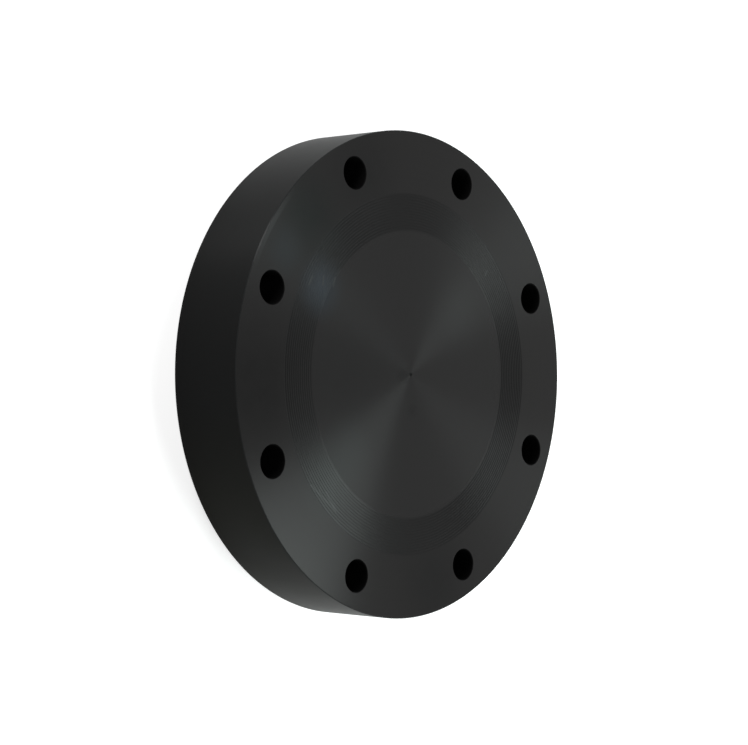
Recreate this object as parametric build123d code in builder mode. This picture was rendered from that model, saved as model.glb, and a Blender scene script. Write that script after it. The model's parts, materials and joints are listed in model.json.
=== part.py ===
from build123d import *
import os

# A blind flange: one thick disc of solid plastic, turned all over and drilled for bolts.
# It lies on its back face. The origin is the centre of that face, and +Z is the disc's axis.
# All sizes are in millimetres.

# The disc
outside_diameter = 343.0
thickness = 58.0
rim_chamfer = 0.5

# The bolt holes, which straddle the X and Y centre lines
bolt_hole_count = 8
bolt_hole_diameter = 22.2
bolt_hole_chamfer = 0.5
rim_to_hole_centres = 22.25

# The gasket band on the front face: concentric V serrations, side by side
holes_to_band = 10.85
serration_count = 13
serration_pitch = 2.0
serration_depth = 0.12

# The point that the facing cut leaves at the centre of the front face
centre_mark_diameter = 3.0
centre_mark_depth = 0.6

# Places that follow from those sizes
bolt_circle_diameter = outside_diameter - 2 * rim_to_hole_centres
band_outer_radius = (bolt_circle_diameter - bolt_hole_diameter) / 2 - holes_to_band
band_inner_radius = band_outer_radius - serration_count * serration_pitch


def serration_points():
    """The bottom of each V and the crest outside it, from the band's inner edge outwards."""
    points = []
    for step in range(serration_count):
        inner_crest = band_inner_radius + step * serration_pitch
        points.append((inner_crest + serration_pitch / 2, thickness - serration_depth))
        points.append((inner_crest + serration_pitch, thickness))
    return points


with BuildPart() as blind_flange:
    # The turned disc, from half its section
    with BuildSketch(Plane.XZ):
        with BuildLine():
            Polyline(
                (0, 0),
                (0, thickness - centre_mark_depth),
                (centre_mark_diameter / 2, thickness),
                (band_inner_radius, thickness),
                *serration_points(),
                (outside_diameter / 2 - rim_chamfer, thickness),
                (outside_diameter / 2, thickness - rim_chamfer),
                (outside_diameter / 2, rim_chamfer),
                (outside_diameter / 2 - rim_chamfer, 0),
                close=True,
            )
        make_face()
    revolve(axis=Axis.Z)

    # The drilled bolt holes, with both mouths deburred
    with Locations(Plane.XY.offset(thickness)):
        with PolarLocations(
            bolt_circle_diameter / 2, bolt_hole_count, start_angle=180 / bolt_hole_count
        ):
            Hole(bolt_hole_diameter / 2)
    hole_mouths = blind_flange.edges(Select.LAST).filter_by(GeomType.CIRCLE)
    chamfer(hole_mouths, length=bolt_hole_chamfer)

blind_flange.part.label = "blind_flange"

os.makedirs("parts", exist_ok=True)
export_step(blind_flange.part, "parts/blind_flange.step")
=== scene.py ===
# A blind flange: one thick disc of black plastic, turned all over and drilled for eight bolts.
# It lies on its back face with the turned front face up, and the camera looks down on it.
# Everything is in metres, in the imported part's own frame.

import json
import math

import bmesh
import bpy
import numpy as np
from mathutils import Matrix, Vector


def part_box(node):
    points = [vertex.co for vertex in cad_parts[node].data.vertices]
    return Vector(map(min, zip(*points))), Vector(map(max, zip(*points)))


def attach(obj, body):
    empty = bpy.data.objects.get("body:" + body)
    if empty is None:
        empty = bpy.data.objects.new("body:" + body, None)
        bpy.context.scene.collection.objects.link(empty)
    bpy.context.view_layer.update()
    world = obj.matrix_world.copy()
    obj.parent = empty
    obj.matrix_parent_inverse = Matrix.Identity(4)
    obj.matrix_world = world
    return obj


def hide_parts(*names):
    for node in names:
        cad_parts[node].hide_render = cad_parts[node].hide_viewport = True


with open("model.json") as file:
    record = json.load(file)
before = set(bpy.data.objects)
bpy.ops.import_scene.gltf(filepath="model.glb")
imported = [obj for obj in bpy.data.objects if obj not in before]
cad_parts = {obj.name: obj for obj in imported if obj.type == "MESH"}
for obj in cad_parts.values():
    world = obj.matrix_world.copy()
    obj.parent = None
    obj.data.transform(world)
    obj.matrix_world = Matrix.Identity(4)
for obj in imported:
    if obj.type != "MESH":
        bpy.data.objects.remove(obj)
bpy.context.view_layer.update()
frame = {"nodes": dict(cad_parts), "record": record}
print("frame loaded:", ", ".join(frame["nodes"]))

# The disc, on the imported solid's own size and bolt circle
low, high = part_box("blind_flange")
boltCircle = next(m for m in frame["record"]["mounts"] if m["name"] == "bolt_circle")["dims"]
disc = {
    "radius": (high[0] - low[0]) / 2,
    "top": high[2],
    "bottom": low[2],
    "rimChamfer": 0.0005,
    "holeCount": boltCircle["count"],
    "holeCircle": boltCircle["pcd_mm"] / 2000,  # from a diameter in mm to a radius in metres
    "holeRadius": boltCircle["hole_r_mm"] / 1000,
    "holeChamfer": 0.0005,
    "bandInner": 0.1013,  # the gasket band's serrations start here
    "serrationPitch": 0.002,
    "serrationDepth": 0.00012,
    "serrations": 13,
    "markRadius": 0.0015,  # the point that the facing cut leaves at the centre
    "markDepth": 0.0006,
    "drilledInner": 0.131,  # the ring that is meshed round the holes
    "drilledOuter": 0.167,
    "cellsAround": 384,
    "cellsAcrossRing": 16,
    # Mesh lines across the plain middle of the face, down the rim, across the back and down a bore
    "linesInside": 8,
    "linesOnWall": 7,
    "linesOnBack": 6,
    "linesInBore": 6,
    "linesRoundHole": (1, 0.7, 0.45, 0.25, 0.1, 0),  # as shares of the way out from a hole's mouth
    "weldDistance": 1e-6,
    "sharpAngle": math.radians(5),  # keeps each serration's crest and root crisp
}
bandOuter = disc["bandInner"] + disc["serrations"] * disc["serrationPitch"]

# Each finish has its place in the mesh's list of materials
finishes = ["turned_face", "turned_rim", "broken_edge", "drilled_bore"]

# Where each surface lies on the map of the finish, as its lowest and highest v
mapStrips = {"front": (0.0, 0.58), "rim": (0.6, 0.74), "back": (0.76, 0.92), "bores": (0.94, 1.0)}
chamferStrip = 0.01
boreEnds = (0.02, 0.98)  # each bore's part of its own column on the map


# How far along a line each of its points lies, as a share of the line's whole length
def shareOfLength(radii, heights):
    steps = np.hypot(np.diff(radii), np.diff(heights))
    travelled = np.concatenate([[0.0], np.cumsum(steps)])
    return travelled / travelled[-1]


# A line (r, z) carried once round the Z axis: its point at angle a is (r cos a, r sin a, z)
def turnedSurface(profile, mapEnds, finish):
    radii, heights = np.array(profile, float).T
    angles = np.linspace(0, 2 * np.pi, disc["cellsAround"] + 1)
    points = np.stack(
        [
            np.outer(radii, np.cos(angles)),
            np.outer(radii, np.sin(angles)),
            np.outer(heights, np.ones_like(angles)),
        ],
        axis=-1,
    )
    along = np.interp(shareOfLength(radii, heights), [0, 1], mapEnds)
    place = np.stack(np.broadcast_arrays(angles / (2 * np.pi), along[:, None]), axis=-1)
    return {"points": points, "map": place, "finish": finish}


# The v of a radius on the front or back strip, which starts at the axis
def faceV(side, radius):
    start, end = mapStrips[side]
    return start + (end - start) * radius / disc["radius"]


# The closed edge of one hole's sector, with its middle on +X, and the hole's mouth that faces it.
# The edge goes up the inner arc, out along one side, back along the outer arc and in along the other.
def sectorLoops():
    half = math.pi / disc["holeCount"]
    inner, outer = disc["drilledInner"], disc["drilledOuter"]
    onArc = np.linspace(-half, half, disc["cellsAround"] // disc["holeCount"] + 1)
    onSide = np.linspace(inner, outer, disc["cellsAcrossRing"] + 1)[1:-1]
    atInner, atOuter = np.full_like(onArc, inner), np.full_like(onArc, outer)
    atHalf = np.full_like(onSide, half)
    radius = np.concatenate([atInner, onSide, atOuter, onSide[::-1], [inner]])
    angle = np.concatenate([onArc, atHalf, onArc[::-1], -atHalf, [-half]])
    edge = np.stack([radius * np.cos(angle), radius * np.sin(angle)], axis=-1)
    toEdge = np.unwrap(np.arctan2(edge[:, 1], edge[:, 0] - disc["holeCircle"]))
    corners = np.cumsum([0, len(onArc) - 1, len(onSide) + 1, len(onArc) - 1, len(onSide) + 1])
    mouth = np.interp(np.arange(len(edge)), corners, toEdge[corners])
    return edge, mouth


# One hole in its sector. Each row has a share s, a radius q and a height z, and its point at turn t is
# s edge(t) + (1 - s) (hole's centre + q (cos t, sin t)), so s is 1 on the sector's edge and 0 in the bore.
def drilledSurface(number, rows, strip, finish):
    edge, mouth = sectorLoops()
    share, reach, height = (column[:, None] for column in np.array(rows, float).T)
    x = share * edge[:, 0] + (1 - share) * (disc["holeCircle"] + reach * np.cos(mouth))
    y = share * edge[:, 1] + (1 - share) * reach * np.sin(mouth)
    middle = (2 * number + 1) * math.pi / disc["holeCount"]
    points = np.stack(
        [
            x * math.cos(middle) - y * math.sin(middle),
            x * math.sin(middle) + y * math.cos(middle),
            np.broadcast_to(height, x.shape),
        ],
        axis=-1,
    )
    if strip == "bores":
        lowV, highV = mapStrips[strip]
        turn = np.linspace(*boreEnds, len(mouth))
        depth = np.interp(height[:, 0], [disc["bottom"], disc["top"]], [highV, lowV])
        place = np.broadcast_arrays((number + turn) / disc["holeCount"], depth[:, None])
    else:
        place = [(middle + np.arctan2(y, x)) / (2 * math.pi), faceV(strip, np.hypot(x, y))]
    return {"points": points, "map": np.stack(place, axis=-1), "finish": finish}


# Each cell of a grid becomes a four-cornered face, and points that coincide are then welded
def weldedMesh(name, surfaces):
    points, places, faces, slots = [], [], [], []
    start = 0
    for surface in surfaces:
        rows, columns = surface["points"].shape[:2]
        index = start + np.arange(rows * columns).reshape(rows, columns)
        cells = np.stack([index[:-1, :-1], index[1:, :-1], index[1:, 1:], index[:-1, 1:]], axis=-1)
        points.append(surface["points"].reshape(-1, 3))
        places.append(surface["map"].reshape(-1, 2))
        faces.append(cells.reshape(-1, 4))
        slots.append(np.full(len(faces[-1]), finishes.index(surface["finish"])))
        start += rows * columns
    points, places, faces = np.concatenate(points), np.concatenate(places), np.concatenate(faces)

    mesh = bpy.data.meshes.new(name)
    mesh.from_pydata(points, [], faces)
    mesh.polygons.foreach_set("material_index", np.concatenate(slots))
    mesh.uv_layers.new(name="OFBake").data.foreach_set("uv", places[faces].ravel())

    welded = bmesh.new()
    welded.from_mesh(mesh)
    bmesh.ops.remove_doubles(welded, verts=welded.verts, dist=disc["weldDistance"])
    openEdges = sum(not edge.is_manifold for edge in welded.edges)
    welded.to_mesh(mesh)
    welded.free()
    mesh.shade_smooth()
    mesh.set_sharp_from_angle(angle=disc["sharpAngle"])
    print(name, "has", len(mesh.polygons), "faces and", openEdges, "open edges")
    return mesh


# The turned line in pieces, from the centre out over the front, down the rim and in along the back, and
# then for each hole its sector of the front, its bore and its sector of the back
def discSurfaces():
    top, bottom, radius = disc["top"], disc["bottom"], disc["radius"]
    inner, outer, chamfer = disc["drilledInner"], disc["drilledOuter"], disc["rimChamfer"]
    crests = disc["bandInner"] + disc["serrationPitch"] * np.arange(disc["serrations"] + 1)
    roots = (crests[:-1] + crests[1:]) / 2
    band = [(crests[0], top)]
    for root, crest in zip(roots, crests[1:]):
        band += [(root, top - disc["serrationDepth"]), (crest, top)]
    mark = [(0, top - disc["markDepth"]), (disc["markRadius"], top)]
    plainRadii = np.linspace(disc["markRadius"], disc["bandInner"], disc["linesInside"])[:-1]
    plain = [(r, top) for r in plainRadii]
    frontMiddle = [*plain, *band, (inner, top)]
    frontEdge = [(outer, top), (radius - chamfer, top)]
    topChamfer = [(radius - chamfer, top), (radius, top - chamfer)]
    wall = [(radius, z) for z in np.linspace(top - chamfer, bottom + chamfer, disc["linesOnWall"])]
    bottomChamfer = [(radius, bottom + chamfer), (radius - chamfer, bottom)]
    backEdge = [(radius - chamfer, bottom), (outer, bottom)]
    backMiddle = [(r, bottom) for r in np.linspace(inner, 0, disc["linesOnBack"])]

    rimStart, rimEnd = mapStrips["rim"]
    wallStart, wallEnd = rimStart + chamferStrip, rimEnd - chamferStrip
    markEdge = faceV("front", disc["markRadius"])
    surfaces = [
        turnedSurface(mark, (faceV("front", 0), markEdge), "turned_rim"),
        turnedSurface(frontMiddle, (markEdge, faceV("front", inner)), "turned_face"),
        turnedSurface(frontEdge, (faceV("front", outer), faceV("front", radius)), "turned_face"),
        turnedSurface(topChamfer, (rimStart, wallStart), "broken_edge"),
        turnedSurface(wall, (wallStart, wallEnd), "turned_rim"),
        turnedSurface(bottomChamfer, (wallEnd, rimEnd), "broken_edge"),
        turnedSurface(backEdge, (faceV("back", radius), faceV("back", outer)), "turned_face"),
        turnedSurface(backMiddle, (faceV("back", inner), faceV("back", 0)), "turned_face"),
    ]

    hole = disc["holeRadius"]
    mouth = hole + disc["holeChamfer"]
    boreTop, boreBottom = top - disc["holeChamfer"], bottom + disc["holeChamfer"]
    topRows = [(share, mouth, top) for share in disc["linesRoundHole"]]
    boreWall = [(0, hole, z) for z in np.linspace(boreTop, boreBottom, disc["linesInBore"])]
    boreRows = [(0, mouth, top), *boreWall, (0, mouth, bottom)]
    backRows = [(share, mouth, bottom) for share in reversed(disc["linesRoundHole"])]
    for number in range(disc["holeCount"]):
        surfaces.append(drilledSurface(number, topRows, "front", "turned_face"))
        surfaces.append(drilledSurface(number, boreRows, "bores", "drilled_bore"))
        surfaces.append(drilledSurface(number, backRows, "back", "turned_face"))
    return surfaces


# Short ways to write node trees
def addNode(tree, kind, inputs=(), output=0, **settings):
    node = tree.nodes.new(kind)
    for key, value in settings.items():
        setattr(node, key, value)
    for socket, value in dict(inputs).items():
        if isinstance(value, bpy.types.NodeSocket):
            tree.links.new(value, node.inputs[socket])
        else:
            node.inputs[socket].default_value = value
    return node.outputs[output]


def calc(tree, operation, *values):
    return addNode(tree, "ShaderNodeMath", enumerate(values), operation=operation)


def vectorCalc(tree, operation, first, second, output="Vector"):
    inputs = {0: first, 1: second}
    return addNode(tree, "ShaderNodeVectorMath", inputs, output=output, operation=operation)


# A number carried from one range to another, held at the ends
def remap(tree, value, fromLow, fromHigh, toLow, toHigh, **settings):
    ends = {"From Min": fromLow, "From Max": fromHigh, "To Min": toLow, "To Max": toHigh}
    return addNode(tree, "ShaderNodeMapRange", {"Value": value, **ends}, **settings)


# Noise that changes only along one length, as tool marks do
def markNoise(tree, length, perMetre, detail):
    inputs = {"W": length, "Scale": perMetre, "Detail": detail}
    return addNode(tree, "ShaderNodeTexNoise", inputs, noise_dimensions="1D")


def cloudNoise(tree, place, perMetre, detail):
    return addNode(tree, "ShaderNodeTexNoise", {"Vector": place, "Scale": perMetre, "Detail": detail})


def startFinish(name, look):
    material = bpy.data.materials.new(name)
    material.use_nodes = True
    tree = material.node_tree
    shader = tree.nodes["Principled BSDF"]
    shader.inputs["Specular IOR Level"].default_value = look["gloss"]
    place = addNode(tree, "ShaderNodeTexCoord", output="Object")
    return material, tree, shader, place


def mixTones(tree, share, darkTone, paleTone):
    tones = {0: share, 6: darkTone, 7: paleTone}
    return addNode(tree, "ShaderNodeMix", tones, output=2, data_type="RGBA")


# Highlights stretch across the tool marks, along the radius of a face or the height of the rim.
# The tangent runs round the axis, as the marks do, and a quarter turn sets the stretch across it.
def stretchHighlights(tree, shader, anisotropy):
    shader.inputs["Anisotropic"].default_value = anisotropy
    shader.inputs["Anisotropic Rotation"].default_value = 0.25
    tangent = addNode(tree, "ShaderNodeTangent", direction_type="RADIAL", axis="Z")
    tree.links.new(tangent, shader.inputs["Tangent"])


def meanOf(tree, first, second):
    return calc(tree, "MULTIPLY_ADD", first, 0.5, calc(tree, "MULTIPLY", second, 0.5))


# Noise makes the surface rougher in some places and smoother in others, by half the spread at most
def varyRoughness(tree, shader, noise, look):
    spread = look["roughnessSpread"]
    roughness = calc(tree, "MULTIPLY_ADD", noise, spread, look["roughness"] - spread / 2)
    tree.links.new(roughness, shader.inputs["Roughness"])


def raiseMarks(tree, shader, marks, look):
    inputs = {"Strength": look["markStrength"], "Distance": look["markHeight"], "Height": marks}
    tree.links.new(addNode(tree, "ShaderNodeBump", inputs), shader.inputs["Normal"])


# How far a point is inside a straight scratch: 1 on its middle line, 0 at its edges
def scratchShare(tree, flat, scratch):
    start, end = Vector((*scratch["start"], 0)), Vector((*scratch["end"], 0))
    along = end - start
    fromStart = vectorCalc(tree, "SUBTRACT", flat, tuple(start))
    travelled = vectorCalc(tree, "DOT_PRODUCT", fromStart, tuple(along / along.length_squared), "Value")
    held = addNode(tree, "ShaderNodeClamp", {"Value": travelled})
    foot = addNode(tree, "ShaderNodeVectorMath", {0: tuple(along), "Scale": held}, operation="SCALE")
    gap = vectorCalc(tree, "DISTANCE", fromStart, foot, "Value")
    return remap(tree, gap, 0, scratch["halfWidth"], 1, 0, interpolation_type="SMOOTHSTEP")


# How far a point is inside a round patch: 1 at its centre, fading out to its edge
def patchShare(tree, flat, patch):
    gap = vectorCalc(tree, "DISTANCE", flat, (*patch["centre"], 0), "Value")
    return remap(tree, gap, 0, patch["radius"], 1, 0, interpolation_type="SMOOTHSTEP")


turnedFace = {
    "darkTone": (0.0057, 0.0052, 0.0052, 1),
    "paleTone": (0.0077, 0.0071, 0.0071, 1),
    "middleTone": (0.0090, 0.0085, 0.0085, 1),  # paler towards the middle
    "middleToneAtBand": 0.55,  # how much of the middle's tone is left where the band starts
    # painted shade: the serrated band is toned darker, standing in for the shade in its grooves
    "bandTone": (0.0008, 0.0008, 0.0008, 1),
    "bandFade": 0.001,  # the finish changes over this length on both sides of the band's edges
    "toolMarks": {"perMetre": 350, "detail": 1},
    "clouds": {"perMetre": 14, "detail": 3},
    "gloss": 0.131,
    "roughness": 0.276,
    "middleRoughness": 0.190,
    "roughnessAtBand": 0.273,
    "roughnessPower": 0.55,  # under 1, so that it rises fast near the middle
    "bandRoughness": 0.366,
    "anisotropy": 0.877,
    "frontShares": (0.5, 0.6),  # wear starts and is full at these shares of the disc's height
    "patchClouds": {"perMetre": 90, "detail": 4},
    "patchCloudRange": (0.35, 0.6),
    "leastPatch": 0.84,  # the share of a patch that is left where the clouds thin it most
    # Darker patches, the first two painted shade towards -X; the smudges near the centre; a greenish one,
    # a painted tint of the light; two paler ones, painted highlights; and the scuffed spots, their bluish
    # pale partly painted sheen
    "patchesAndPaintedLight": [
        # painted shade: the face darkened towards -X, where it reflects less light
        {"centre": (-0.1520, -0.0080), "radius": 0.0740, "tone": (0.0006, 0.0006, 0.0006, 1)},
        {"centre": (-0.0600, -0.0040), "radius": 0.0750, "tone": (0.0062, 0.0060, 0.0060, 1)},
        {"centre": (0.0270, -0.1480), "radius": 0.0560, "tone": (0.0024, 0.0024, 0.0024, 1)},
        {"centre": (-0.0500, 0.1380), "radius": 0.0500, "tone": (0.0030, 0.0030, 0.0030, 1)},
        {"centre": (-0.0100, -0.0010), "radius": 0.0085, "tone": (0.0056, 0.0056, 0.0056, 1)},
        {"centre": (-0.0055, -0.0010), "radius": 0.0085, "tone": (0.0056, 0.0056, 0.0056, 1)},
        {"centre": (0.0015, -0.0258), "radius": 0.0080, "tone": (0.0056, 0.0056, 0.0056, 1)},
        # painted reflection: a dark teal tint on the stretched highlight towards -X and +Y
        {"centre": (-0.1040, 0.1040), "radius": 0.0460, "tone": (0.0016, 0.0032, 0.0028, 1)},
        # painted highlights: paler patches on the stretched highlights towards +X +Y and -X -Y
        {"centre": (0.0526, 0.0441), "radius": 0.0350, "tone": (0.0112, 0.0112, 0.0112, 1)},
        {"centre": (-0.0650, -0.0515), "radius": 0.0300, "tone": (0.0112, 0.0122, 0.0120, 1)},
        # scuffs, whose pale bluish tone also paints the sheen of the light on them
        {"centre": (-0.0915, 0.0585), "radius": 0.0270, "tone": (0.0110, 0.0150, 0.0195, 1)},
        {"centre": (-0.1250, 0.0820), "radius": 0.0240, "tone": (0.0080, 0.0100, 0.0110, 1)},
        {"centre": (-0.0850, -0.0720), "radius": 0.0340, "tone": (0.0090, 0.0110, 0.0105, 1)},
    ],
    "scratchTone": (0.020, 0.022, 0.022, 1),
    "scratches": [
        {"start": (-0.1020, -0.0740), "end": (-0.0777, -0.0925), "halfWidth": 0.0011},
        {"start": (-0.0869, -0.0796), "end": (-0.0777, -0.0925), "halfWidth": 0.0013},
        {"start": (-0.1030, 0.0600), "end": (-0.0995, 0.0655), "halfWidth": 0.0011},
        {"start": (-0.0895, 0.0605), "end": (-0.0888, 0.0660), "halfWidth": 0.0011},
        {"start": (-0.0795, 0.0595), "end": (-0.0775, 0.0650), "halfWidth": 0.0011},
        {"start": (0.0840, 0.0725), "end": (0.0860, 0.0760), "halfWidth": 0.0009},
    ],
    "edgeWearAndHighlight": {  # a stretch of the front edge that is pale from wear, partly a painted highlight where it catches the light
        "centre": (-0.1400, 0.0980),
        "radius": 0.0400,
        "width": 0.0046,  # inwards from the rim
        "fade": 0.0012,
        "tone": (0.0160, 0.0166, 0.0167, 1),
    },
}


# A faced surface with a serrated band that is duller than the rest and darkened by painted shade, with
# wear, scratches and painted shade and highlights on the front
def makeTurnedFace(look):
    material, tree, shader, place = startFinish("turned_face", look)
    flat = vectorCalc(tree, "MULTIPLY", place, (1, 1, 0))
    radius = addNode(tree, "ShaderNodeVectorMath", {0: flat}, output="Value", operation="LENGTH")
    height = addNode(tree, "ShaderNodeSeparateXYZ", {0: place}, output="Z")
    bandInner, fade = disc["bandInner"], look["bandFade"]
    pastInner = remap(tree, radius, bandInner - fade, bandInner + fade, 0, 1)
    beforeOuter = remap(tree, radius, bandOuter - fade, bandOuter + fade, 1, 0)
    frontStart, frontFull = look["frontShares"]
    onFront = remap(tree, height, disc["top"] * frontStart, disc["top"] * frontFull, 0, 1)
    onBand = calc(tree, "MULTIPLY", calc(tree, "MULTIPLY", pastInner, beforeOuter), onFront)

    toolMarks = markNoise(tree, radius, **look["toolMarks"])
    clouds = cloudNoise(tree, place, **look["clouds"])
    colour = mixTones(tree, meanOf(tree, toolMarks, clouds), look["darkTone"], look["paleTone"])
    towardsMiddle = remap(tree, radius, 0, bandInner, 1, look["middleToneAtBand"])
    towardsMiddle = calc(tree, "MULTIPLY", towardsMiddle, calc(tree, "SUBTRACT", 1, pastInner))
    colour = mixTones(tree, towardsMiddle, colour, look["middleTone"])
    # painted shade in the serrated band's grooves
    colour = mixTones(tree, onBand, colour, look["bandTone"])
    patchClouds = cloudNoise(tree, place, **look["patchClouds"])
    uneven = remap(tree, patchClouds, *look["patchCloudRange"], look["leastPatch"], 1)
    uneven = calc(tree, "MULTIPLY", uneven, onFront)
    # patches of stains and scuffs, and painted shade, highlights and tint
    for spot in look["patchesAndPaintedLight"]:
        share = calc(tree, "MULTIPLY", patchShare(tree, flat, spot), uneven)
        colour = mixTones(tree, share, colour, spot["tone"])
    for scratch in look["scratches"]:
        share = calc(tree, "MULTIPLY", scratchShare(tree, flat, scratch), onFront)
        colour = mixTones(tree, share, colour, look["scratchTone"])
    # the pale front edge: wear, partly a painted highlight where it catches the light
    edgeStrip = look["edgeWearAndHighlight"]
    stripInnerRadius = disc["radius"] - edgeStrip["width"]
    share = remap(tree, radius, stripInnerRadius, stripInnerRadius + edgeStrip["fade"], 0, 1)
    share = calc(tree, "MULTIPLY", share, calc(tree, "MULTIPLY", patchShare(tree, flat, edgeStrip), onFront))
    colour = mixTones(tree, share, colour, edgeStrip["tone"])
    tree.links.new(colour, shader.inputs["Base Color"])

    outward = calc(tree, "POWER", calc(tree, "DIVIDE", radius, bandInner), look["roughnessPower"])
    roughness = remap(tree, outward, 0, 1, look["middleRoughness"], look["roughnessAtBand"])
    roughness = addNode(tree, "ShaderNodeMix", {0: pastInner, 2: roughness, 3: look["roughness"]})
    roughness = addNode(tree, "ShaderNodeMix", {0: onBand, 2: roughness, 3: look["bandRoughness"]})
    tree.links.new(roughness, shader.inputs["Roughness"])
    stretchHighlights(tree, shader, look["anisotropy"])
    return material


turnedRim = {
    "darkTone": (0.0032, 0.0032, 0.0032, 1),
    "paleTone": (0.0046, 0.0047, 0.0047, 1),
    "paintedReflectionTone": (0.0047, 0.0049, 0.0026, 1),  # painted reflection: a faint olive tint on the side towards -Y, standing in for light reflected there
    "tintStart": -0.020,
    "tintFull": -0.090,
    "toolMarks": {"perMetre": 1500, "detail": 2},
    "markStrength": 0.5,
    "markHeight": 1e-5,
    "clouds": {"perMetre": 22, "detail": 4},
    "gloss": 0.052,
    "roughness": 0.327,
    "roughnessSpread": 0.06,
    "anisotropy": 0.95,
}


# The rim: matte, with the lathe's feed marks running round it and a painted olive reflection towards -Y
def makeTurnedRim(look):
    material, tree, shader, place = startFinish("turned_rim", look)
    height = addNode(tree, "ShaderNodeSeparateXYZ", {0: place}, output="Z")
    feedMarks = markNoise(tree, height, **look["toolMarks"])
    clouds = cloudNoise(tree, place, **look["clouds"])
    colour = mixTones(tree, meanOf(tree, feedMarks, clouds), look["darkTone"], look["paleTone"])
    # painted reflection: an olive tint on the side towards -Y
    upward = addNode(tree, "ShaderNodeSeparateXYZ", {0: place}, output="Y")
    tintShare = remap(tree, upward, look["tintStart"], look["tintFull"], 0, 1)
    colour = mixTones(tree, tintShare, colour, look["paintedReflectionTone"])
    tree.links.new(colour, shader.inputs["Base Color"])
    varyRoughness(tree, shader, clouds, look)
    raiseMarks(tree, shader, feedMarks, look)
    stretchHighlights(tree, shader, look["anisotropy"])
    return material


brokenEdge = {
    "darkTone": (0.006, 0.0064, 0.0066, 1),
    "paleTone": (0.012, 0.0128, 0.0132, 1),
    "clouds": {"perMetre": 60, "detail": 4},
    "gloss": 0.11,
    "roughness": 0.34,
    "roughnessSpread": 0.1,
    "anisotropy": 0.9,
}


# The rim's two small chamfers, paler than the rim itself
def makeBrokenEdge(look):
    material, tree, shader, place = startFinish("broken_edge", look)
    clouds = cloudNoise(tree, place, **look["clouds"])
    colour = mixTones(tree, clouds, look["darkTone"], look["paleTone"])
    tree.links.new(colour, shader.inputs["Base Color"])
    varyRoughness(tree, shader, clouds, look)
    stretchHighlights(tree, shader, look["anisotropy"])
    return material


drilledBore = {
    # near-black tones: painted shade inside the bores
    "darkTone": (0.001, 0.001, 0.001, 1),
    "paleTone": (0.002, 0.002, 0.002, 1),
    "toolMarks": {"perMetre": 900, "detail": 3},
    "markStrength": 0.5,
    "markHeight": 2e-5,
    "gloss": 0.03,
    "roughness": 0.6,
    "roughnessSpread": 0.1,
}


# The bores: dull and toned near black as painted shade, with the drill's marks running round them
def makeDrilledBore(look):
    material, tree, shader, place = startFinish("drilled_bore", look)
    height = addNode(tree, "ShaderNodeSeparateXYZ", {0: place}, output="Z")
    drillMarks = markNoise(tree, height, **look["toolMarks"])
    colour = mixTones(tree, drillMarks, look["darkTone"], look["paleTone"])
    tree.links.new(colour, shader.inputs["Base Color"])
    varyRoughness(tree, shader, drillMarks, look)
    raiseMarks(tree, shader, drillMarks, look)
    return material


turnedDisc = bpy.data.objects.new("turned_disc", weldedMesh("turned_disc", discSurfaces()))
bpy.context.collection.objects.link(turnedDisc)
turnedDisc.data.materials.append(makeTurnedFace(turnedFace))
turnedDisc.data.materials.append(makeTurnedRim(turnedRim))
turnedDisc.data.materials.append(makeBrokenEdge(brokenEdge))
turnedDisc.data.materials.append(makeDrilledBore(drilledBore))
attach(turnedDisc, "root")
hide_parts("blind_flange")
print("disc made")

# The pale floor, which shows white and still takes the disc's shadow
floorLook = {"side": 12.0, "tone": 0.6, "ownLight": 0.7}


# A share that is 1 where the camera, a gloss or clear glass sees the surface, and 0 where it gives light
def seenShare(tree):
    rays = tree.nodes.new("ShaderNodeLightPath").outputs
    seen = calc(tree, "ADD", rays["Is Camera Ray"], rays["Is Glossy Ray"])
    seen = calc(tree, "ADD", seen, rays["Is Transmission Ray"])
    return addNode(tree, "ShaderNodeClamp", {"Value": seen})


def makeFloor(look):
    material = bpy.data.materials.new("pale_floor")
    material.use_nodes = True
    tree = material.node_tree
    tree.nodes.clear()
    matte = addNode(tree, "ShaderNodeBsdfDiffuse", {"Color": (look["tone"],) * 3 + (1,)})
    glow = addNode(tree, "ShaderNodeEmission", {"Color": (1, 1, 1, 1), "Strength": look["ownLight"]})
    lit = addNode(tree, "ShaderNodeAddShader", {0: matte, 1: glow})
    surface = addNode(tree, "ShaderNodeMixShader", {0: seenShare(tree), 1: matte, 2: lit})
    tree.links.new(surface, tree.nodes.new("ShaderNodeOutputMaterial").inputs["Surface"])

    half = look["side"] / 2
    mesh = bpy.data.meshes.new("floor")
    corners = [(-half, -half, 0), (half, -half, 0), (half, half, 0), (-half, half, 0)]
    mesh.from_pydata(corners, [], [(0, 1, 2, 3)])
    mesh.materials.append(material)
    floor = bpy.data.objects.new("floor", mesh)
    bpy.context.collection.objects.link(floor)
    return floor


makeFloor(floorLook)

# The light: a pale room, and soft lamps above the disc
roomLook = {"tone": (0.25, 0.25, 0.25, 1), "background": (1, 1, 1, 1)}
lamps = {
    "upper_lamp": {
        "towards": (0.213, 0.403, 0.890),
        "distance": 0.91,
        "size": 0.30,
        "power": 2.42,
        "tone": (0.88, 1.0, 0.98),
    },
    "lower_lamp": {
        "towards": (0.370, -0.423, 0.827),
        "distance": 0.92,
        "size": 0.42,
        "power": 6.8,
        "tone": (0.90, 1.0, 0.97),
    },
    "rim_lamp": {
        "towards": (-0.653, 0.731, 0.199),
        "distance": 0.50,
        "size": 0.15,
        "power": 1.24,
        "tone": (1.0, 1.0, 1.0),
    },
    "right_upper_lamp": {
        "towards": (0.952, 0.205, 0.228),
        "distance": 2.2,
        "size": 0.46,
        "power": 2.9,
        "tone": (0.90, 1.0, 0.97),
    },
    "right_lower_lamp": {
        "towards": (0.962, -0.234, 0.140),
        "distance": 1.08,
        "size": 0.30,
        "power": 0.76,
        "tone": (0.90, 1.0, 0.97),
    },
}


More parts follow.
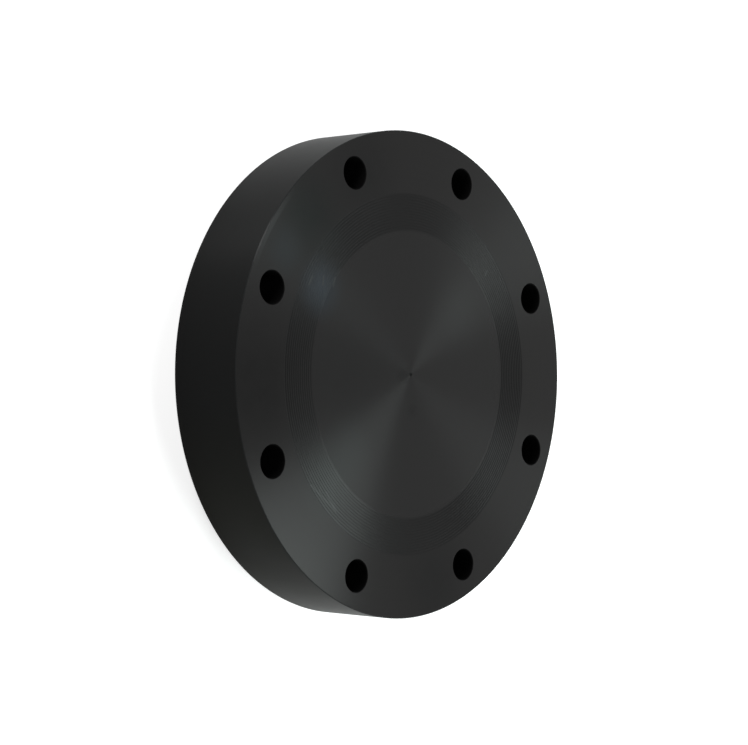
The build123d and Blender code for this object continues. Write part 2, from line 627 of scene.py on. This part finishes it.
def makeRoom(look):
    world = bpy.data.worlds.new("room")
    world.use_nodes = True
    tree = world.node_tree
    tree.nodes.clear()
    tone = mixTones(tree, seenShare(tree), look["tone"], look["background"])
    light = addNode(tree, "ShaderNodeBackground", {"Color": tone, "Strength": 1.0})
    tree.links.new(light, tree.nodes.new("ShaderNodeOutputWorld").inputs["Surface"])
    bpy.context.scene.world = world


def makeLamp(name, look):
    data = bpy.data.lights.new(name, "AREA")
    data.shape = "DISK"
    data.size = look["size"]
    data.energy = look["power"]
    data.color = look["tone"]
    lamp = bpy.data.objects.new(name, data)
    towards = Vector(look["towards"]).normalized()
    lamp.location = Vector((0, 0, disc["top"])) + towards * look["distance"]
    lamp.rotation_euler = towards.to_track_quat("Z", "Y").to_euler()
    bpy.context.collection.objects.link(lamp)


makeRoom(roomLook)
for lampName, lampLook in lamps.items():
    makeLamp(lampName, lampLook)
print("light set")

# The camera, turned about the front face's centre, with +Y up in the picture
shot = {
    "imageWidth": 748,
    "imageHeight": 745,
    "sensorWidth": 36.0,
    "lens": 99.42,
    "distance": 1.4555,
    "swing": math.radians(-1.1),  # about the disc's own axis
    "turn": math.radians(47.95),  # from the face's normal towards -X
    "tilt": math.radians(0.6),
    "roll": math.radians(0.95),
    "faceCentrePixel": (410.7, 374.3),
}


# With t the face's centre in the camera's axes and R the turn into them, the camera stands at -R' t
# from that centre
def makeCamera(look):
    data = bpy.data.cameras.new("camera")
    data.lens = look["lens"]
    data.sensor_width = look["sensorWidth"]
    data.sensor_fit = "HORIZONTAL"
    pixelsPerUnit = look["lens"] / look["sensorWidth"] * look["imageWidth"]
    across = (look["faceCentrePixel"][0] - look["imageWidth"] / 2) / pixelsPerUnit
    upwards = (look["imageHeight"] / 2 - look["faceCentrePixel"][1]) / pixelsPerUnit
    centreSeen = Vector((across, upwards, -1)) * look["distance"]
    intoCamera = (
        Matrix.Rotation(look["roll"], 3, "Z")
        @ Matrix.Rotation(look["tilt"], 3, "X")
        @ Matrix.Rotation(look["turn"], 3, "Y")
        @ Matrix.Rotation(look["swing"], 3, "Z")
    )
    camera = bpy.data.objects.new("camera", data)
    stands = Vector((0, 0, disc["top"])) - intoCamera.transposed() @ centreSeen
    camera.matrix_world = Matrix.Translation(stands) @ intoCamera.transposed().to_4x4()
    bpy.context.collection.objects.link(camera)
    bpy.context.scene.camera = camera


makeCamera(shot)
bpy.context.scene.view_settings.view_transform = "Standard"
print("camera set")
